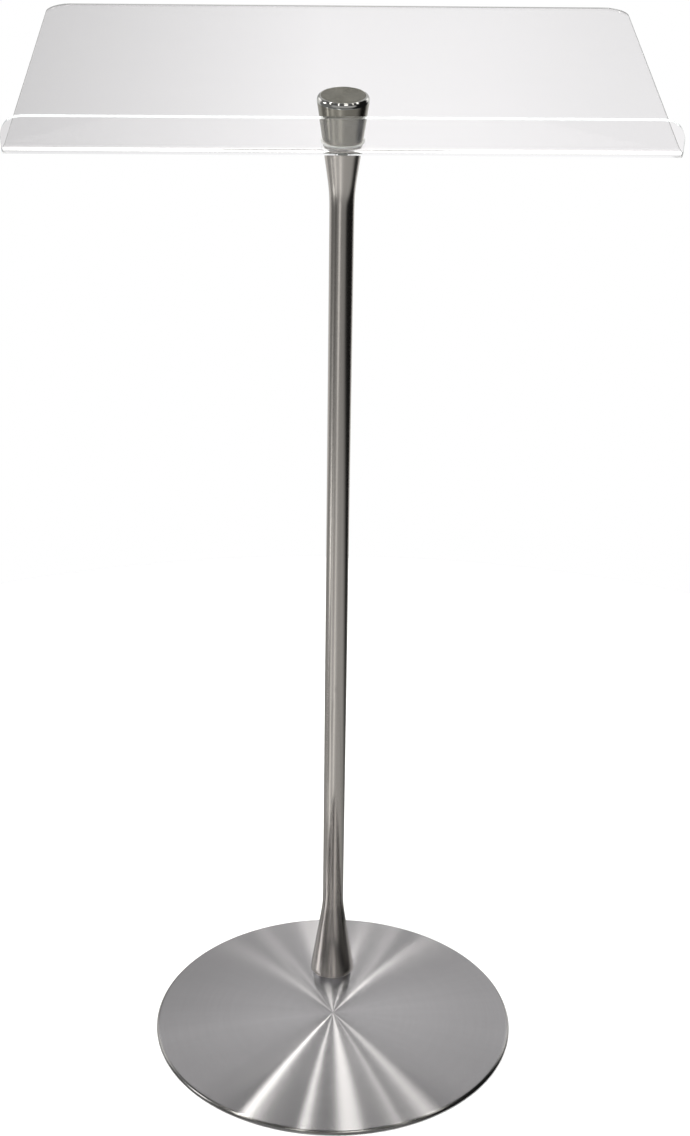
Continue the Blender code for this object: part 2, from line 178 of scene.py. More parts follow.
def skin(bm, rings, closed=False):
    """Join each ring to the next with quads; closed also joins the last to the first."""
    following = rings[1:] + rings[:1] if closed else rings[1:]
    for a, b in zip(rings, following):
        for i in range(len(a)):
            j = (i + 1) % len(a)
            bm.faces.new((a[i], a[j], b[j], b[i]))


def thread(bm, radius, pitch, depth, z0, z1, sides, x=0.0, y=0.0, cap_low=True):
    """A rod with a helical thread, its ends chamfered. Returns its lowest ring."""
    rows_per_turn = 6
    crest, slope = 0.12, 0.76  # parts of half a pitch
    rows = max(int((z1 - z0) / pitch * rows_per_turn), 8)
    chamfer = depth * 1.3
    rings = []
    for k in range(rows + 1):
        z = z0 + (z1 - z0) * k / rows
        end_cut = max(0.0, chamfer - (z - z0), chamfer - (z1 - z))
        radii = []
        for i in range(sides):
            turn = ((z - z0) / pitch - i / sides) % 1.0
            groove = depth * min(max((abs(turn * 2 - 1) - crest) / slope, 0.0), 1.0)
            radii.append(radius - max(groove, end_cut))
        rings.append(ring(bm, radii, z, x, y))
    skin(bm, rings)
    if cap_low:
        bm.faces.new(list(reversed(rings[0])))
    bm.faces.new(rings[-1])
    return rings[0]


def bake(obj):
    """Keep the result of an object's modifiers as its mesh."""
    bpy.context.view_layer.update()
    depsgraph = bpy.context.evaluated_depsgraph_get()
    mesh = bpy.data.meshes.new_from_object(
        obj.evaluated_get(depsgraph), preserve_all_data_layers=True, depsgraph=depsgraph
    )
    obj.modifiers.clear()
    obj.data = mesh
    return mesh


def drill(obj, centres, radius, z0, z1):
    """Cut round holes through a piece along Z."""
    cutters = []
    for x, y in centres:
        bm = lathe([(0.0, z0, 0), (radius, z0, 0), (radius, z1, 0), (0.0, z1, 0)], 48, phase=0.03)
        bm.transform(Matrix.Translation((x, y, 0.0)))
        cutter = make(obj.name + "_cutter", bm, [])
        cut = obj.modifiers.new("cut", "BOOLEAN")
        cut.operation = "DIFFERENCE"
        cut.solver = "EXACT"
        cut.object = cutter
        cutters.append(cutter)
    mesh = bake(obj)
    for cutter in cutters:
        bpy.data.objects.remove(cutter, do_unlink=True)
    mesh.set_sharp_from_angle(angle=math.radians(30.0))


# =============================================================================================
# node helpers
# =============================================================================================
class Tree:
    """Small builder for a material's or the world's nodes."""

    def __init__(self, tree):
        self.nodes = tree.nodes
        self.links = tree.links
        self.nodes.clear()

    def node(self, kind, **props):
        node = self.nodes.new(kind)
        for key, value in props.items():
            setattr(node, key, value)
        return node

    def put(self, socket, value):
        if hasattr(value, "is_output"):
            self.links.new(value, socket)
        else:
            socket.default_value = value

    def math(self, op, *values):
        node = self.node("ShaderNodeMath", operation=op)
        for socket, value in zip(node.inputs, values):
            self.put(socket, value)
        return node.outputs[0]

    def plus(self, a, b):
        return self.math("ADD", a, b)

    def minus(self, a, b):
        return self.math("SUBTRACT", a, b)

    def times(self, a, b):
        return self.math("MULTIPLY", a, b)

    def sway(self, value, noise, amount):
        """A value pushed up and down by a noise that centres on 0.5."""
        return self.plus(value, self.times(self.minus(noise, 0.5), amount))

    def vec(self, op, a, b=None, scale=None):
        node = self.node("ShaderNodeVectorMath", operation=op)
        self.put(node.inputs[0], a)
        if b is not None:
            self.put(node.inputs[1], b)
        if scale is not None:
            self.put(node.inputs["Scale"], scale)
        return node.outputs["Value" if op in ("DOT_PRODUCT", "LENGTH") else "Vector"]

    def ramp(self, x, ends, to=(0.0, 1.0), smooth=True):
        """x carried from the range ends to the range to, and held beyond it."""
        kind = "SMOOTHSTEP" if smooth else "LINEAR"
        node = self.node("ShaderNodeMapRange", interpolation_type=kind, clamp=True)
        self.put(node.inputs["Value"], x)
        for key, value in zip(("From Min", "From Max", "To Min", "To Max"), (*ends, *to)):
            node.inputs[key].default_value = value
        return node.outputs["Result"]

    def combine(self, x, y, z):
        node = self.node("ShaderNodeCombineXYZ")
        for socket, value in zip(node.inputs, (x, y, z)):
            self.put(socket, value)
        return node.outputs[0]

    def noise(self, vector, scale, detail, rough):
        node = self.node("ShaderNodeTexNoise", noise_dimensions="3D")
        self.put(node.inputs["Vector"], vector)
        node.inputs["Scale"].default_value = scale
        node.inputs["Detail"].default_value = detail
        node.inputs["Roughness"].default_value = rough
        node.inputs["Distortion"].default_value = 0.0
        return node.outputs["Fac"]

    def scaled(self, colour, value):
        """A fixed colour times a value."""
        node = self.node("ShaderNodeMix", data_type="RGBA", blend_type="MULTIPLY")
        node.inputs[0].default_value = 1.0
        node.inputs[6].default_value = (*colour, 1.0)
        grey = self.node("ShaderNodeCombineColor")
        for socket in grey.inputs:
            self.put(socket, value)
        self.put(node.inputs[7], grey.outputs[0])
        return node.outputs[2]

    def bump(self, height, distance, strength):
        node = self.node("ShaderNodeBump")
        node.inputs["Strength"].default_value = strength
        node.inputs["Distance"].default_value = distance
        self.put(node.inputs["Height"], height)
        return node.outputs[0]

    def object_coords(self):
        return self.node("ShaderNodeTexCoord").outputs["Object"]

    def shader(self, kind, inputs):
        node = self.node(kind)
        for key, value in inputs.items():
            self.put(node.inputs[key], value)
        return node.outputs[0]

    def mix_shader(self, fac, base, other):
        node = self.node("ShaderNodeMixShader")
        for socket, value in zip(node.inputs, (fac, base, other)):
            self.put(socket, value)
        return node.outputs[0]

    def blurred_ray(self, path):
        """1 for a mirrored ray from a rough surface."""
        return self.times(path["Is Glossy Ray"], self.minus(1.0, path["Is Singular Ray"]))

    def finish(self, shader, kind="ShaderNodeOutputMaterial"):
        self.put(self.node(kind).inputs[0], shader)


def material(name):
    mat = bpy.data.materials.new(name)
    mat.use_nodes = True
    return mat, Tree(mat.node_tree)


# =============================================================================================
# kinds of material
# =============================================================================================
def from_axis(t, position, centre, axis):
    """(vector from the centre, height along the axis)."""
    rel = t.vec("SUBTRACT", position, tuple(centre))
    return rel, t.vec("DOT_PRODUCT", rel, tuple(axis))


def outward(t, rel, height, axis):
    """Vector from the axis, square to it."""
    return t.vec("SUBTRACT", rel, t.vec("SCALE", tuple(axis), scale=height))


def brushed(name, colour, rough, aniso, way, centre=HEAD, axis=AXIS, grain=1.0, streak=1.0,
            spread=0.06, bump=0.6, long_grain=False, painted_rim_shade=1.0, thin=0.0):
    """Steel with grooves running round an axis. way 'face' is a flat or domed face, whose
    highlights fan out from the centre; way 'side' is a turned side, whose highlights run
    along the axis. grain and streak set the contrast along and round the grooves, spread
    the variation of roughness, and bump the relief in hundredths of a millimetre. fade is
    painted shade: the brightness left at the rim of a face, whose colour brightens towards
    its centre. thin is the part of a blurred mirror image of the piece that is left out."""
    mat, t = material(name)
    obj = t.object_coords()
    rel, height = from_axis(t, obj, centre, axis)
    other = tuple(Vector(axis).cross(RIGHT).normalized())
    angle = t.math(
        "ARCTAN2", t.vec("DOT_PRODUCT", rel, other), t.vec("DOT_PRODUCT", rel, tuple(RIGHT))
    )
    if way == "face":
        across = t.vec("LENGTH", outward(t, rel, height, axis))
        position = t.node("ShaderNodeNewGeometry").outputs["Position"]
        tangent = t.vec("NORMALIZE", outward(t, *from_axis(t, position, centre, axis), axis))
    else:
        across = height
        tangent = tuple(axis)
    cos, sin = t.math("COSINE", angle), t.math("SINE", angle)

    def rings(pitch, turn, detail, rough):
        """Noise with its own fineness across the grooves and round the axis."""
        place = t.combine(t.times(across, pitch), t.times(cos, turn), t.times(sin, turn))
        return t.noise(place, scale=1.0, detail=detail, rough=rough)

    fine = rings(pitch=1500.0, turn=2.2, detail=4.0, rough=0.65)  # grooves in long arcs
    band = rings(pitch=160.0, turn=0.8, detail=3.0, rough=0.6)  # tool bands
    # unevenness round the axis, which breaks highlights into rays
    place = t.combine(t.times(cos, 9.0), t.times(sin, 9.0), t.times(across, 3.0))
    rays = t.noise(place, scale=1.0, detail=5.0, rough=0.7)
    marks = t.noise(obj, scale=14.0, detail=4.0, rough=0.6)  # faint handling marks
    value = t.sway(1.0, fine, 0.22 * grain)
    value = t.sway(value, band, 0.10 * grain)
    value = t.sway(value, rays, 0.16 * streak)
    value = t.sway(value, marks, 0.05)
    # painted shade: the colour of a face brightens towards its centre and dims towards its rim
    if painted_rim_shade != 1.0:
        value = t.times(value, t.ramp(across, (0.03, 0.2), to=(1.06, painted_rim_shade)))
    roughness = t.sway(t.sway(rough, fine, spread * 2.0), marks, spread)
    relief = t.plus(t.times(fine, 1.0), t.times(rays, 0.6 * streak))
    inputs = {
        "Roughness": t.math("MAXIMUM", roughness, 0.03),
        "Tangent": tangent,
        "Normal": t.bump(relief, distance=0.00001 * bump, strength=1.0),
    }
    tinted = t.scaled(colour, value)
    if long_grain:  # deep brushing, which smears highlights much further across the grooves
        node = t.node("ShaderNodeBsdfAnisotropic", distribution="BECKMANN")
        inputs.update({"Color": tinted, "Anisotropy": -aniso})
    else:
        node = t.node("ShaderNodeBsdfPrincipled")
        inputs.update({"Metallic": 1.0, "Base Color": tinted, "Anisotropic": aniso})
    for key, socket_value in inputs.items():
        t.put(node.inputs[key], socket_value)
    body = node.outputs[0]
    if thin:
        blurred = t.blurred_ray(t.node("ShaderNodeLightPath").outputs)
        clear = t.shader("ShaderNodeBsdfTransparent", {})
        body = t.mix_shader(t.times(blurred, thin), body, clear)
    t.finish(body)
    return mat


def polished(name, colour, rough):
    """Bright metal with a faint haze and fine swirl marks."""
    mat, t = material(name)
    obj = t.object_coords()
    swirl = t.noise(obj, scale=900.0, detail=4.0, rough=0.6)
    haze = t.noise(obj, scale=60.0, detail=3.0, rough=0.5)
    t.finish(t.shader("ShaderNodeBsdfPrincipled", {
        "Metallic": 1.0,
        "Base Color": t.scaled(colour, t.ramp(haze, (0.2, 0.8), to=(0.94, 1.04))),
        "Roughness": t.ramp(swirl, (0.25, 0.8), to=(rough * 0.7, rough * 1.6)),
    }))
    return mat


def acrylic(name, tint, edge_rough=None, white=0.0):
    """Clear cast acrylic. Lamps and soft light pass it, so it casts only a pale shadow.
    edge_rough makes it a cut edge; white is the part that scatters light like chalk."""
    mat, t = material(name)
    obj = t.object_coords()
    wipe = t.noise(t.vec("MULTIPLY", obj, (1.0, 4.0, 4.0)), scale=9.0, detail=4.0, rough=0.55)
    if edge_rough is not None:
        place = t.vec("MULTIPLY", obj, (120.0, 120.0, 2600.0))
        saw = t.noise(place, scale=1.0, detail=3.0, rough=0.6)
        roughness = t.ramp(saw, (0.2, 0.8), to=(edge_rough * 0.5, edge_rough * 1.6))
        normal = t.bump(saw, distance=0.00002, strength=0.5)
    else:  # perfectly smooth, with a trace of waviness and fine wiping scratches
        place = t.vec("MULTIPLY", obj, (60.0, 900.0, 900.0))
        scratch = t.ramp(t.noise(place, scale=1.0, detail=2.0, rough=0.6), (0.68, 0.8), to=(0.0, 0.05))
        roughness = 0.0
        normal = t.bump(t.plus(t.times(wipe, 3.0), scratch), distance=0.00001, strength=0.6)
    body = t.shader("ShaderNodeBsdfPrincipled", {
        "Base Color": t.scaled(tint, t.ramp(wipe, (0.2, 0.8), to=(0.992, 1.0))),
        "IOR": 1.491,
        "Transmission Weight": 1.0,
        "Roughness": roughness,
        "Normal": normal,
    })
    clear = t.shader("ShaderNodeBsdfTransparent", {"Color": (0.94, 0.95, 0.95, 1.0)})
    path = t.node("ShaderNodeLightPath").outputs
    passes = t.math("MAXIMUM", path["Is Shadow Ray"], path["Is Diffuse Ray"])
    passes = t.math("MAXIMUM", passes, t.blurred_ray(path))
    # light that has bounced along inside the sheet several times is let out
    inside = t.math("GREATER_THAN", path["Glossy Depth"], 2.5)
    deep = t.math("GREATER_THAN", path["Ray Depth"], 8.5)
    passes = t.math("MAXIMUM", passes, t.math("MAXIMUM", inside, deep))
    if white:
        chalk = t.shader("ShaderNodeBsdfDiffuse", {"Color": (0.78, 0.78, 0.78, 1.0)})
        body = t.mix_shader(white, body, chalk)
    t.finish(t.mix_shader(passes, body, clear))
    return mat


def dull(name, colour, rough, scale=1.0, metallic=0.0, variation=0.12, bump=0.00002,
         subsurface=0.0):
    """Plastic, rubber, cast or plated surface with its own grain. scale sets the fineness
    of the grain, variation its contrast and bump its relief in metres."""
    mat, t = material(name)
    even = (1.0, 1.0, 1.0)  # stretch of the grain along x, y and z
    obj = t.vec("MULTIPLY", t.object_coords(), even)
    grain = t.noise(obj, scale=1200.0 * scale, detail=4.0, rough=0.6)
    patch = t.noise(obj, scale=55.0 * scale, detail=4.0, rough=0.6)
    value = t.ramp(grain, (0.2, 0.8), to=(1.0 - variation, 1.0 + variation))
    relief = t.plus(grain, t.times(patch, 2.0))
    inputs = {
        "Metallic": metallic,
        "Base Color": t.scaled(colour, t.sway(value, patch, variation * 1.4)),
        "Roughness": t.ramp(patch, (0.25, 0.75), to=(rough - 0.07, rough + 0.07)),
        "Normal": t.bump(relief, distance=bump, strength=0.6),
    }
    if subsurface:
        inputs.update({
            "Subsurface Weight": subsurface,
            "Subsurface Radius": (0.004, 0.004, 0.004),
            "Subsurface Scale": 0.5,
        })
    t.finish(t.shader("ShaderNodeBsdfPrincipled", inputs))
    return mat


# =============================================================================================
# materials
# =============================================================================================
column_steel = brushed(
    "column_turned_steel", (0.63, 0.60, 0.565), rough=0.17, aniso=0.9, way="side",
    grain=0.35, streak=0.0, spread=0.02, bump=0.15, thin=0.97,
)
# painted shade: the knob is the column's steel, its side coloured darker and its face darker still, to
# stand for the dim room that they mirror
knob_side_painted_shade = brushed(
    "knob_turned_steel_painted_shade", (0.37, 0.348, 0.305), rough=0.15, aniso=0.9, way="side",
    grain=0.5, streak=0.0, spread=0.03, bump=0.2,
)
knob_face_painted_shade = brushed(
    "knob_brushed_face_painted_shade", (0.165, 0.160, 0.132), rough=0.24, aniso=0.9, way="face",
    grain=0.6, streak=0.5, bump=0.1,
)
knob_rim = polished("knob_polished_rim", (0.72, 0.72, 0.70), rough=0.05)
# the dome carries painted shade: colour brighter at its centre, darker at its rim
base_steel = brushed(
    "base_circular_brushed", (0.66, 0.652, 0.672), rough=0.205, aniso=0.8, way="face",
    centre=ORIGIN, axis=UP, grain=0.45, streak=0.5, spread=0.015, bump=0.05,
    long_grain=True, painted_rim_shade=0.89,
)
# painted shade: the rolled rim is the dome's steel, coloured darker to draw the dark line along the
# base's edge
base_rim_painted_shade = polished("base_rolled_rim_painted_shade", (0.40, 0.395, 0.39), rough=0.16)
base_under = dull("base_cover_underside", (0.45, 0.44, 0.43), rough=0.4, metallic=1.0)
sheet = acrylic("clear_acrylic", (0.99, 0.988, 0.99))
sheet_edge = acrylic("acrylic_polished_edge", (0.95, 0.97, 0.97), edge_rough=0.05)
sheet_side = acrylic("acrylic_side_edge", (0.70, 0.77, 0.77), edge_rough=0.08)
sheet_rear = acrylic("acrylic_rear_edge", (0.50, 0.52, 0.52), edge_rough=0.10)
# a buffed corner reads as a white line
sheet_arris = acrylic("acrylic_buffed_arris", (1.0, 1.0, 1.0), edge_rough=0.3, white=0.6)
nylon = dull("natural_nylon", (0.86, 0.86, 0.83), rough=0.42, variation=0.04, subsurface=0.25)
zinc = dull("zinc_plate", (0.66, 0.67, 0.70), rough=0.32, metallic=1.0, variation=0.10)
plug_steel = brushed(
    "turned_plug_steel", (0.50, 0.50, 0.51), rough=0.35, aniso=0.7, way="side",
    grain=1.5, streak=0.0,
)
iron = dull(
    "bare_ballast", (0.085, 0.085, 0.09), rough=0.62, scale=0.6, metallic=0.75,
    variation=0.25, bump=0.00012,
)
rubber = dull(
    "black_pad_rubber", (0.022, 0.022, 0.023), rough=0.78, scale=0.8, variation=0.2,
    bump=0.00008,
)

# =============================================================================================
# base
# =============================================================================================
cover_lo, cover_hi = span("base_cover", TO_WORLD)
BASE_R = cover_hi.x
DOME_RISE = 6.6 * MM
RIM_TOP = cover_hi.z - DOME_RISE
COVER_THICK = 1.2 * MM
SCREW_HOLE_R = 3.3 * MM
DOME_RADII = (0, 2, 6, 12, 20, 30, 42, 55, 70, 85, 100, 115, 130, 145, 158, 170, 180, 187, 192, 195.2)
UNDER_RADII = (185, 160, 130, 100, 65, 30, 0)  # mm, as above


def dome(radius):
    """Height of the base's upper surface at a distance from its centre."""
    return RIM_TOP + DOME_RISE * (1.0 - (radius / BASE_R) ** 2)


def foot_screw_places():
    """(x, y, lowest z, highest z) of each foot screw."""
    places = []
    for i in (1, 2, 3):
        lo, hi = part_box("foot_screw_%d" % i)
        places.append(((lo.x + hi.x) / 2, (lo.y + hi.y) / 2, lo.z, hi.z))
    return places


foot_screws = foot_screw_places()


def build_cover():
    top, rim, under = 0, 1, 2
    # inset from the rim and drop below the dome there, in mm
    shoulder = ((3.6, 0.0, top), (2.6, 0.10, rim), (1.7, 0.42, rim), (0.9, 0.98, rim))
    # inset from the rim (mm), datum, height above the datum (mm)
    wall = (
        (0.3, RIM_TOP, -1.65, rim), (0.0, RIM_TOP, -2.35, rim),
        (0.0, cover_lo.z, 0.55, rim), (0.15, cover_lo.z, 0.2, rim),
        (0.45, cover_lo.z, 0.0, rim), (0.85, cover_lo.z, 0.0, rim),
        (1.15, cover_lo.z, 0.2, rim), (1.25, cover_lo.z, 0.5, under),
        (1.25, 0.0, 2.4, under), (2.0, 0.0, 3.1, under),
    )
    profile = [(r * MM, dome(r * MM), top) for r in DOME_RADII]
    for inset, drop, mat_index in shoulder:
        radius = BASE_R - inset * MM
        profile.append((radius, dome(radius) - drop * MM, mat_index))
    for inset, datum, rise, mat_index in wall:
        profile.append((BASE_R - inset * MM, datum + rise * MM, mat_index))
    for radius in (BASE_R - 3.2 * MM, *(r * MM for r in UNDER_RADII)):
        profile.append((radius, dome(radius) - COVER_THICK, under))
    cover = make("spun_base_cover", lathe(profile, 256), [base_steel, base_rim_painted_shade, base_under])
    drill(cover, [(x, y) for x, y, _, _ in foot_screws], SCREW_HOLE_R, z0=0.0, z1=0.02)
    hand_over(cover, "stand", "base_cover")


def build_pad():
    lo, hi = span("base_pad", TO_WORLD)
    radius = hi.x
    profile = [
        (0.0, lo.z, 0), (radius * 0.5, lo.z, 0), (radius - 0.5 * MM, lo.z, 0),
        (radius - 0.15 * MM, lo.z + 0.15 * MM, 0), (radius, lo.z + 0.5 * MM, 0),
        (radius, hi.z - 0.2 * MM, 0), (radius - 0.2 * MM, hi.z, 0), (0.0, hi.z, 0),
    ]
    pad = make("base_pad_disc", lathe(profile, 192), [rubber])
    hand_over(pad, "stand", "base_pad")


# =============================================================================================
# column
# =============================================================================================
TUBE_R = 11.6 * MM
TUBE_WALL = 1.5 * MM
FLOOR_Z = -(HEAD.z / AXIS.z)  # where the axis meets the floor, in the stand's frame
FOOT_GAP = 0.3 * MM  # between the column's foot and the dome
FOOT_REACH = 93.0 * MM  # rough distance of the foot from the base's centre


def soft_ramp(x, blend):
    """0 well below zero and x well above it, rounded over a blend length."""
    return blend * math.log1p(math.exp(x / blend)) if x < 40 * blend else x


def foot_flare(up):
    """Radius at a distance up the axis from the floor plane."""
    return TUBE_R + 0.135 * soft_ramp(111.5 * MM - up, 5.0 * MM)


def head_flare(down):
    """Radius at a distance below the shelf's upper face."""
    return TUBE_R + 0.142 * soft_ramp(51.0 * MM - down, 5.5 * MM)


def on_dome(lift=0.0):
    """Height in the stand's frame, at an x and y there, of the column's foot above the dome,
    plus a lift along the axis."""

    def height(x, y):
        z = FLOOR_Z + dome(FOOT_REACH) / AXIS.z
        for _ in range(10):
            p = STAND @ Vector((x, y, z))
            z -= (p.z - dome(math.hypot(p.x, p.y)) - FOOT_GAP) / AXIS.z
        return z + lift

    return height


def build_column():
    top = -span("column")[1].z  # distance below the shelf's upper face
    foot_r = max(widest("column", FLOOR_Z, FLOOR_Z + 0.02), 0.0245)
    top_r = head_flare(top)
    # outside, from the foot up
    profile = [
        (foot_r - 0.7 * MM, on_dome(), 0),
        (foot_r - 0.2 * MM, on_dome(0.2 * MM), 0),
        (foot_r, on_dome(0.7 * MM), 0),
    ]
    for up in range(20, 150, 4):
        profile.append((min(foot_flare(up * MM), foot_r), FLOOR_Z + up * MM, 0))
    for up in (160, 200, 260, 340, 420, 500, 580, 660, 740, 820, 900, 940):
        profile.append((TUBE_R, FLOOR_Z + up * MM, 0))
    for down in range(90, 0, -3):
        if down > top / MM + 1.5:
            profile.append((head_flare(down * MM), -down * MM, 0))
    profile += arc((top_r - 0.5 * MM, -top - 0.5 * MM), radius=0.5 * MM, sweep=(0, 90), steps=4)
    # inside, from the head down
    profile.append((top_r - TUBE_WALL, -top, 0))
    for down in (12, 24, 36, 45, 50, 55, 60, 70, 90):
        profile.append((head_flare(down * MM) - TUBE_WALL, -down * MM, 0))
    for up in (900, 500, 160):
        profile.append((TUBE_R - TUBE_WALL, FLOOR_Z + up * MM, 0))
    for up in (126, 118, 112, 106, 100, 90, 60, 22):
        profile.append((foot_flare(up * MM) - TUBE_WALL, FLOOR_Z + up * MM, 0))
    profile.append((foot_r - TUBE_WALL, on_dome(), 0))
    column = make("flared_column", lathe(profile, 144), [column_steel], matrix=STAND)
    hand_over(column, "stand", "column")


# =============================================================================================
# knob, washers and bush
# =============================================================================================
BORE_R = 5.3 * MM  # of the pieces round the stud
KNOB_FACE_R = 20.6 * MM


def knob_r(z):
    return 18.4 * MM + 0.144 * z


def build_knob():
    side, face, rim = 0, 1, 2
    lo, hi = span("clamp_knob")
    low, top = lo.z, hi.z
    rim_low = top - 4.4 * MM
    low_edge = (knob_r(low) - 1.0 * MM, low + 1.0 * MM)
    profile = [(BORE_R, low + 0.6 * MM, side), (BORE_R + 0.6 * MM, low, side)]
    profile += arc(low_edge, radius=0.9 * MM, sweep=(-90, 0), steps=6, rise=1.0 * MM)
    for up in (0.003, 0.006, 0.010, 0.014, 0.018, 0.022, 0.026, 0.030, 0.033):
        profile.append((knob_r(low + up), low + up, side))
    profile += [
        (knob_r(rim_low - 0.9 * MM), rim_low - 0.9 * MM, side),
        (knob_r(rim_low - 0.45 * MM) + 0.02 * MM, rim_low - 0.4 * MM, rim),
    ]
    profile += arc(
        (KNOB_FACE_R, rim_low), radius=knob_r(rim_low) - KNOB_FACE_R, sweep=(0, 90),
        steps=14, mat_index=rim, rise=top - rim_low,
    )[:-1]
    profile += [(KNOB_FACE_R, top, face), (KNOB_FACE_R - 0.35 * MM, top, face)]
    profile += [(r * MM, top, face) for r in (17, 13, 9, 5, 2, 0.8)]
    # the blind bore from below ends in a cone
    profile += [(0.0, top, side), (0.0, low + 29.0 * MM, side), (BORE_R, low + 26.5 * MM, side)]
    knob = make(
        "flared_clamp_knob", lathe(profile, 176), [knob_side_painted_shade, knob_face_painted_shade, knob_rim],
        matrix=STAND, sharp=38.0,
    )
    hand_over(knob, "knob", "clamp_knob")


def build_washer(name, node, body, edge=0.35 * MM):
    """A nylon ring round the stud, its outer edges rounded by a radius."""
    lo, hi = span(node)
    outer, z0, z1 = hi.x, lo.z, hi.z
    profile = [(BORE_R + 0.2 * MM, z0, 0), (outer - edge, z0, 0)]
    profile += arc((outer - edge, z0 + edge), radius=edge, sweep=(-90, 0), steps=4)[1:]
    profile += arc((outer - edge, z1 - edge), radius=edge, sweep=(0, 90), steps=4)
    profile += [
        (BORE_R + 0.2 * MM, z1, 0), (BORE_R, z1 - 0.2 * MM, 0), (BORE_R, z0 + 0.2 * MM, 0),
    ]
    washer = make(name, lathe(profile, 128), [nylon], matrix=STAND)
    hand_over(washer, body, node)


# =============================================================================================
# zinc hardware and pieces kept as packed
# =============================================================================================
def build_stud():
    lo, hi = span("stud")
    bm = bmesh.new()
    thread(
        bm, radius=4.98 * MM, pitch=1.5 * MM, depth=0.85 * MM, z0=lo.z, z1=hi.z, sides=48
    )
    stud = make("threaded_stud", bm, [zinc], matrix=STAND, sharp=50.0)
    hand_over(stud, "stand", "stud")


def build_locknut():
    sides = 96
    lo, hi = span("stud_locknut")
    height = (hi.z - lo.z) / MM
    flats = hexagon(8.5 * MM, sides)
    # height above the nut's lower face and largest radius there, in mm
    chamfer = [(0.0, 8.3), (0.35, 8.9), (0.75, 9.4), (1.15, 9.82)]
    outside = chamfer + [(4.0, 9.82)] + [(height - up, r) for up, r in reversed(chamfer)]
    bore = [(height, 5.9), (height - 0.6, 5.3), (0.6, 5.3), (0.0, 5.9)]
    bm = bmesh.new()
    rings = [ring(bm, [min(f, r * MM) for f in flats], lo.z + up * MM) for up, r in outside]
    rings += [ring(bm, [r * MM] * sides, lo.z + up * MM) for up, r in bore]
    skin(bm, rings, closed=True)
    nut = make("hex_locknut", bm, [zinc], matrix=STAND, sharp=25.0)
    hand_over(nut, "stand", "stud_locknut")


def build_foot_screw(number, x, y, z0, z1):
    """A socket screw standing on its head."""
    sides = 48
    head_r, head_height, shank_r = 5.2 * MM, 3.0 * MM, 2.98 * MM
    socket = hexagon(2.0 * MM, sides)
    head = (  # radius, height above the head's lower face
        (head_r - 0.5 * MM, 0.0),
        (head_r - 0.15 * MM, 0.15 * MM),
        (head_r, 0.5 * MM),
        (head_r, head_height - 0.1 * MM),
        (head_r - 0.1 * MM, head_height),
        (shank_r - 0.75 * MM, head_height),
    )
    bm = bmesh.new()
    rings = [
        ring(bm, socket, z0 + 1.8 * MM, x, y),
        ring(bm, socket, z0 + 0.3 * MM, x, y),
        ring(bm, [1.12 * radius for radius in socket], z0, x, y),
    ]
    rings += [ring(bm, [radius] * sides, z0 + up, x, y) for radius, up in head]
    skin(bm, rings)
    tip = bm.verts.new((x, y, z0 + 2.4 * MM))  # conical end of the socket
    for i in range(sides):
        bm.faces.new((rings[0][(i + 1) % sides], rings[0][i], tip))
    shank = thread(
        bm, radius=shank_r, pitch=1.0 * MM, depth=0.58 * MM, z0=z0 + head_height, z1=z1,
        sides=sides, x=x, y=y, cap_low=False,
    )
    skin(bm, [rings[-1], shank])
    screw = make("socket_screw_%d" % number, bm, [zinc], sharp=40.0)
    hand_over(screw, "stand", "foot_screw_%d" % number)


def dress(node, mat):
    """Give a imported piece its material."""
    mats = frame["nodes"][node].data.materials
    mats.clear()
    mats.append(mat)


# =============================================================================================
# reading shelf: one bent sheet of clear acrylic
# =============================================================================================
LIP_LEAN = math.radians(6.0)  # of the lip, away from square to the sheet
BEND_R = 8.0 * MM  # inside the bend
BEND_Y = -21.5 * MM  # where the bend begins
REAR_CORNER_R = 25.0 * MM
LIP_CORNER_R = 20.0 * MM
CORNER_STEPS = 22
BEND_STEPS = 30
SHELF_HOLE_R = 7.0 * MM
SHELF_MATS = [sheet, sheet_edge, sheet_arris, sheet_rear, sheet_side]
FACE, LIP_EDGE, ARRIS, REAR_EDGE, SIDE_EDGE = range(5)


def shelf_stations():
    """Cross-sections from the rear edge to the top of the lip, each as
    (half width, (y, z) on the upper or inner face, (y, z) on the other face)."""
    lo, hi = span("reading_shelf")
    half, rear, lip_top = hi.x, hi.y, hi.z
    thick = -lo.z

    def corner_half(inset, radius):
        """Half width at a distance in from an end with rounded corners."""
        if inset >= radius:
            return half
        return half - radius + math.sqrt(max(radius * radius - (radius - inset) ** 2, 0.0))

    stations = []
    for k in range(CORNER_STEPS + 1):
        inset = REAR_CORNER_R * (1 - math.cos(math.pi / 2 * k / CORNER_STEPS))
        width = corner_half(inset, REAR_CORNER_R)
        stations.append((width, (rear - inset, 0.0), (rear - inset, -thick)))
    for y in (300, 200, 100, 30, -14, -18, -20.5):
        stations.append((half, (y * MM, 0.0), (y * MM, -thick)))
    for k in range(BEND_STEPS + 1):
        angle = (math.pi / 2 - LIP_LEAN) * k / BEND_STEPS
        inner, outer = (
            (BEND_Y - r * math.sin(angle), BEND_R - r * math.cos(angle))
            for r in (BEND_R, BEND_R + thick)
        )
        stations.append((half, inner, outer))
    up_y, up_z = -math.sin(LIP_LEAN), math.cos(LIP_LEAN)

    def lip_station(width, along):
        return (
            width,
            (inner[0] + up_y * along, inner[1] + up_z * along),
            (outer[0] + up_y * along, outer[1] + up_z * along),
        )

    # the lip's higher top edge, inner or outer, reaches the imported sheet's highest point
    over = max(inner[1], outer[1]) - inner[1]
    lip_length = (lip_top - inner[1]) / up_z - over / up_z
    for along in (0.6 * MM, 2.0 * MM):
        stations.append(lip_station(half, along))
    for k in range(CORNER_STEPS + 1):
        inset = LIP_CORNER_R * math.cos(math.pi / 2 * k / CORNER_STEPS)
        stations.append(lip_station(corner_half(inset, LIP_CORNER_R), lip_length - inset))
    return stations


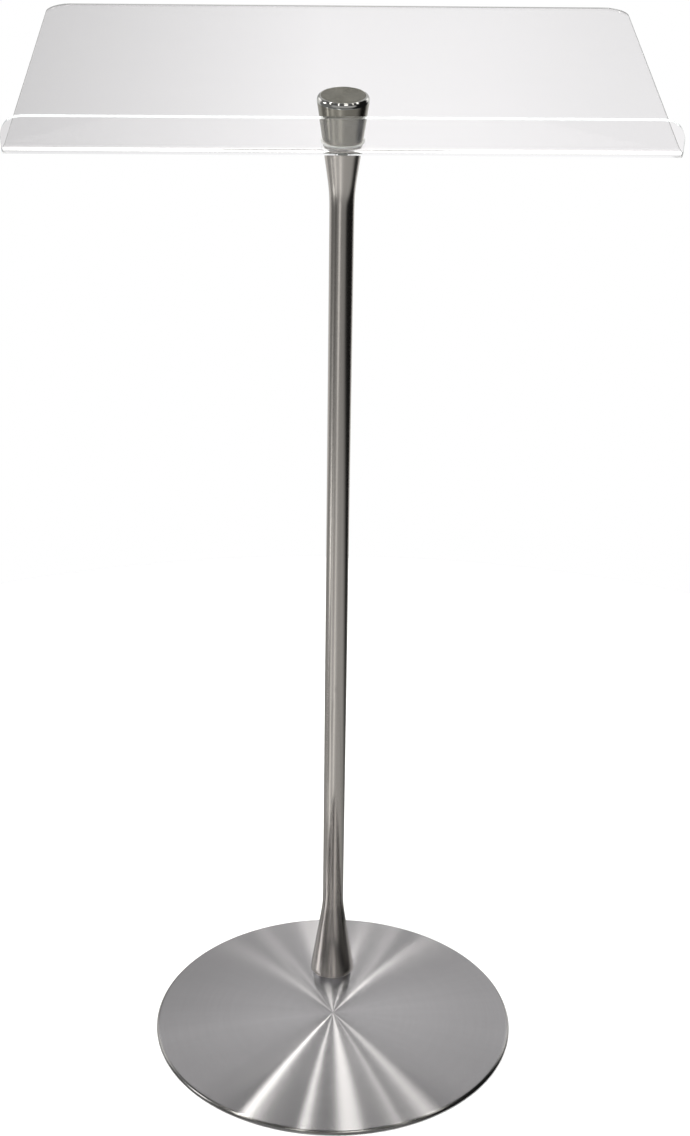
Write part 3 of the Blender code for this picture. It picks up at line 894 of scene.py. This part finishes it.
def build_shelf():
    bm = bmesh.new()
    rows = []
    for width, a, b in shelf_stations():
        corners = ((-width, *a), (width, *a), (width, *b), (-width, *b))
        rows.append([bm.verts.new(p) for p in corners])
    for i, (row, following) in enumerate(zip(rows, rows[1:])):
        if i < CORNER_STEPS:
            edge = REAR_EDGE
        elif i < len(rows) - CORNER_STEPS - 2:
            edge = SIDE_EDGE
        else:
            edge = LIP_EDGE
        for k in range(4):
            j = (k + 1) % 4
            face = bm.faces.new((row[k], row[j], following[j], following[k]))
            face.material_index = FACE if k in (0, 2) else edge
    bm.faces.new(rows[0]).material_index = REAR_EDGE
    bm.faces.new(list(reversed(rows[-1]))).material_index = LIP_EDGE
    shelf = make("acrylic_reading_shelf", bm, SHELF_MATS)
    drill(shelf, [(0.0, 0.0)], SHELF_HOLE_R, z0=-0.012, z1=0.012)
    bevel = shelf.modifiers.new("edges", "BEVEL")
    bevel.width = 0.8 * MM
    bevel.segments = 3
    bevel.limit_method = "ANGLE"
    bevel.angle_limit = math.radians(40)
    bevel.material = ARRIS
    mesh = bake(shelf)
    mesh.transform(STAND)
    mesh.shade_smooth()
    # the flat faces stay flat right up to the arrises
    mesh.set_sharp_from_angle(angle=math.radians(11))
    hand_over(shelf, "shelf", "reading_shelf")


# =============================================================================================
# floor and overhead light
# =============================================================================================
def build_floor():
    bm = bmesh.new()
    bmesh.ops.create_circle(bm, cap_ends=True, segments=96, radius=1.3)
    floor = make("floor", bm, [])
    mat, t = material("pale_floor")
    cloud = t.noise(t.object_coords(), scale=30.0, detail=3.0, rough=0.55)
    value = t.ramp(cloud, (0.2, 0.8), to=(0.99, 1.0))
    t.finish(t.shader("ShaderNodeBsdfPrincipled", {
        "Base Color": t.scaled((0.93, 0.93, 0.93), value),
        "Roughness": 0.9,
        "Specular IOR Level": 0.0,
    }))
    floor.data.materials.append(mat)
    floor.visible_glossy = False


def add_sun():
    data = bpy.data.lights.new("soft_overhead", "SUN")
    data.energy = 3.4
    data.angle = math.radians(70.0)
    sun = bpy.data.objects.new("soft_overhead", data)
    sun.rotation_euler = (math.radians(8.0), math.radians(-6.0), 0.0)
    sun.visible_glossy = False
    sun.visible_transmission = False
    bpy.context.scene.collection.objects.link(sun)


# =============================================================================================
# surroundings that the steel and the clear sheet show
# =============================================================================================
class Sky(Tree):
    """World nodes in degrees: az is 0 behind the camera and 90 to the right, el is up from
    the horizon, side is to the right of straight back."""

    def __init__(self, tree):
        super().__init__(tree)
        xyz = self.node("ShaderNodeSeparateXYZ")
        self.put(xyz.inputs[0], self.node("ShaderNodeTexCoord").outputs["Generated"])
        self.x, self.y, z = xyz.outputs
        self.az = self.degrees(self.math("ARCTAN2", self.x, self.times(self.y, -1.0)))
        self.el = self.degrees(self.math("ARCSINE", z))
        self.side = self.math("WRAP", self.minus(180.0, self.az), 180.0, -180.0)

    def degrees(self, angle):
        return self.times(angle, 180.0 / math.pi)

    def card(self, at, half, soft, slant=0.0):
        """1 inside a patch, falling to 0 over its soft edge. Each pair is (az, el); slant
        shifts the patch in az for each degree of el."""
        off = self.minus(self.az, at[0])
        if slant:
            off = self.minus(off, self.times(self.minus(self.el, at[1]), slant))
        off_az = self.math("ABSOLUTE", self.math("WRAP", off, 180.0, -180.0))
        off_el = self.math("ABSOLUTE", self.minus(self.el, at[1]))
        return self.times(
            self.ramp(off_az, (half[0] + soft[0], half[0])),
            self.ramp(off_el, (half[1] + soft[1], half[1])),
        )

    def blend(self, room, patch, value):
        """Replace the room by a value inside a patch."""
        return self.plus(self.times(room, self.minus(1.0, patch)), self.times(patch, value))

    def glow(self, room, patch, value):
        """Add a value to the room inside a patch."""
        return self.plus(room, self.times(patch, value))


def room_light(sky):
    """Brightness of the room that the steel mirrors."""
    el, side, card, ramp, times = sky.el, sky.side, sky.card, sky.ramp, sky.times
    blend, glow = sky.blend, sky.glow
    off_front = sky.math("ABSOLUTE", sky.az)
    flank = times(ramp(off_front, (110, 126)), ramp(off_front, (150, 163), to=(1.0, 0.35)))
    room = blend(0.17, times(flank, ramp(el, (-4, 4))), 1.25)
    room = blend(room, card(at=(2, 26), half=(44, 24), soft=(16, 10)), 0.40)
    room = blend(room, ramp(el, (31, 40)), 0.11)
    # the right of the room is unlit
    room = blend(room, card(at=(92, 24), half=(28, 26), soft=(16, 12)), 0.01)
    room = blend(room, card(at=(62, 46), half=(24, 10), soft=(8, 6)), 0.015)
    # white floor close by
    room = blend(room, ramp(el, (-62, -76)), 0.95)
    # white sweep behind the object, a little greyer to the left and right
    sweep = times(ramp(side, (-13, -1), to=(0.70, 1.04)), ramp(side, (1, 13), to=(1.0, 0.90)))
    room = blend(room, card(at=(180, -12), half=(52, 24), soft=(16, 8)), sweep)
    # wall above it
    wall = times(ramp(side, (-12, 0), to=(0.34, 0.66)), ramp(side, (0, 12), to=(1.0, 0.80)))
    room = blend(room, card(at=(180, 20), half=(26, 17), soft=(14, 7)), wall)
    # its upper corners, which light the sides of the disc
    corners = [card(at=(az, 42), half=(10, 6), soft=(8, 6)) for az in (155, -155)]
    room = blend(room, sky.plus(*corners), 0.45)
    # the floor near the object is lighter than the far room
    room = blend(room, ramp(el, (-24, -28)), ramp(el, (-50, -28), to=(0.45, 0.23)))
    room = blend(room, card(at=(-112, -46), half=(22, 12), soft=(12, 10)), 0.36)
    room = blend(room, card(at=(-42, -56), half=(40, 9), soft=(14, 8)), 0.58)
    # dark side of the room on the right, lighter low down
    dark = ramp(el, (-40, -31), to=(0.42, 0.01))
    room = blend(room, card(at=(88, -22), half=(34, 20), soft=(26, 6)), dark)
    room = blend(room, card(at=(-60, -27), half=(5, 4), soft=(7, 4)), 0.10)
    # strip lights at the left and front left
    strip = ramp(el, (-35, -30), to=(2.1, 0.35))
    room = glow(room, card(at=(-84, -32), half=(3, 3), soft=(4, 2)), strip)
    room = glow(room, card(at=(-61, -44), half=(4, 6), soft=(6, 3)), 0.62)
    room = glow(room, card(at=(-21, -35), half=(3.5, 12), soft=(6, 8), slant=-0.3), 0.55)
    room = glow(room, card(at=(-20, -33), half=(3, 2.5), soft=(4, 3)), 0.40)
    # lamp high on the left
    return glow(room, card(at=(-93, 31), half=(4, 9), soft=(4, 4)), 3.6)


# lamps: angle of the lamp's plane, half width and soft edge in degrees, power
HIGH_LAMPS = (
    (-121.9, 0.4, 1.2, 5.0),
    (-101.0, 0.1, 0.9, 4.6),
    (-84.4, 3.0, 2.2, 1.15),
    (-67.9, 0.4, 1.2, 1.0),
    (-55.6, 1.5, 2.6, 1.0),
)
LOW_LAMPS = (
    (59.8, 0.5, 1.4, 2.2),
    (78.0, 0.3, 1.2, 1.6),
    (94.5, 1.6, 1.6, 2.2),
    (103.0, 0.3, 1.2, 2.2),
    (123.0, 0.6, 1.6, 0.8),
)


def lamp_light(sky):
    """Lamps that each lie in one plane with the view of the base, so that the circular
    brushing draws each of them as a straight ray through the middle of the disc."""
    el, ramp, times = sky.el, sky.ramp, sky.times
    view = Vector((-0.034, -1.971, 1.456)).normalized()  # from the base to the viewer
    fan = sky.degrees(sky.math("ARCTAN2", sky.plus(sky.y, view.y), sky.plus(sky.x, view.x)))

    def add_lamp(lamps, lamp, reach):
        angle, half, soft, power = lamp
        off = sky.math("ABSOLUTE", sky.minus(fan, angle))
        return sky.plus(lamps, times(times(ramp(off, (half + soft, half)), reach), power))

    lamps = 0.0
    high = times(
        ramp(el, (39, 68), to=(0.55, 2.4), smooth=False),
        times(ramp(el, (38, 44)), ramp(el, (73, 79), to=(1.0, 0.0))),
    )
    for lamp in HIGH_LAMPS:
        lamps = add_lamp(lamps, lamp, high)
    for lamp in LOW_LAMPS:  # these light the rear of the dome
        low = times(ramp(el, (12, 18)), ramp(el, (32, 35), to=(1.0, 0.0)))
        lamps = add_lamp(lamps, lamp, low)
    return lamps


def clear_light(sky):
    """What the clear sheet shows and mirrors: white, greyer behind its left third."""
    side, ramp, times = sky.side, sky.ramp, sky.times
    low = times(
        ramp(side, (-9.5, 0.5), to=(0.71, 1.0), smooth=False),
        ramp(side, (3.5, 10.5), to=(1.0, 0.915)),
    )
    view = sky.blend(1.0, sky.card(at=(180, -14), half=(30, 20), soft=(20, 12)), low)
    high = times(
        ramp(side, (-9.5, 0.5), to=(0.28, 0.70), smooth=False),
        ramp(side, (3.5, 10.5), to=(1.0, 0.86)),
    )
    high = times(high, ramp(sky.el, (26, 32), to=(0.86, 1.0)))
    view = sky.blend(view, sky.card(at=(180, 32), half=(40, 22), soft=(20, 8)), high)
    return sky.blend(view, sky.card(at=(0, -32), half=(30, 16), soft=(30, 12)), 0.80)


def build_world():
    world = bpy.data.worlds.new("studio")
    bpy.context.scene.world = world
    world.use_nodes = True
    sky = Sky(world.node_tree)

    def background(colour):
        return sky.shader("ShaderNodeBackground", {"Color": colour})

    room = sky.scaled((1.0, 0.99, 0.975), room_light(sky))
    lamps = sky.scaled((1.0, 0.975, 0.92), lamp_light(sky))
    steel_view = background(sky.vec("ADD", room, lamps))
    clear_view = background(sky.scaled((1.0, 0.989, 0.995), clear_light(sky)))
    white = background((1.0, 1.0, 1.0, 1.0))
    path = sky.node("ShaderNodeLightPath").outputs
    mirrored = sky.times(path["Is Glossy Ray"], path["Is Singular Ray"])
    shown = sky.mix_shader(mirrored, steel_view, clear_view)
    shown = sky.mix_shader(path["Is Transmission Ray"], shown, clear_view)
    shown = sky.mix_shader(path["Is Camera Ray"], shown, white)
    sky.finish(shown, "ShaderNodeOutputWorld")


# =============================================================================================
# camera
# =============================================================================================
CAMERA_AT = Vector((-0.0340, -1.9712, 1.4558))
LENS, SENSOR = 66.511268, 36.0  # mm
PITCH = math.radians(24.27)  # downwards
YAW = math.radians(1.22)  # to the right
ROLL = math.radians(0.65)


def add_camera():
    cos_pitch, sin_pitch = math.cos(PITCH), math.sin(PITCH)
    cos_yaw, sin_yaw = math.cos(YAW), math.sin(YAW)
    forward = Vector((sin_yaw * cos_pitch, cos_yaw * cos_pitch, -sin_pitch))
    level = Vector((cos_yaw, -sin_yaw, 0.0))
    above = level.cross(forward)
    right = math.cos(ROLL) * level + math.sin(ROLL) * above
    up = -math.sin(ROLL) * level + math.cos(ROLL) * above
    data = bpy.data.cameras.new("camera")
    data.sensor_width = SENSOR
    data.lens = LENS
    data.clip_start, data.clip_end = 0.05, 50.0
    camera = bpy.data.objects.new("camera", data)
    camera.matrix_world = placement(right, up, -forward, CAMERA_AT)
    bpy.context.scene.collection.objects.link(camera)
    bpy.context.scene.camera = camera


# =============================================================================================
# build
# =============================================================================================
build_cover()
build_pad()
build_column()
build_knob()
build_washer("nylon_washer_upper", "upper_washer", "washer")
build_washer("nylon_washer_lower", "lower_washer", "stand")
build_washer("nylon_bush", "shelf_bush", "shelf", edge=0.2 * MM)
build_stud()
build_locknut()
for number, place in enumerate(foot_screws, start=1):
    build_foot_screw(number, *place)
for number in (1, 2, 3):
    dress("foot_washer_%d" % number, zinc)
dress("foot_plug", plug_steel)
dress("head_plug", plug_steel)
dress("base_weight", iron)
build_shelf()
build_floor()
add_sun()
build_world()
add_camera()
bpy.context.scene.view_settings.view_transform = "Standard"
bpy.context.scene.view_settings.look = "None"
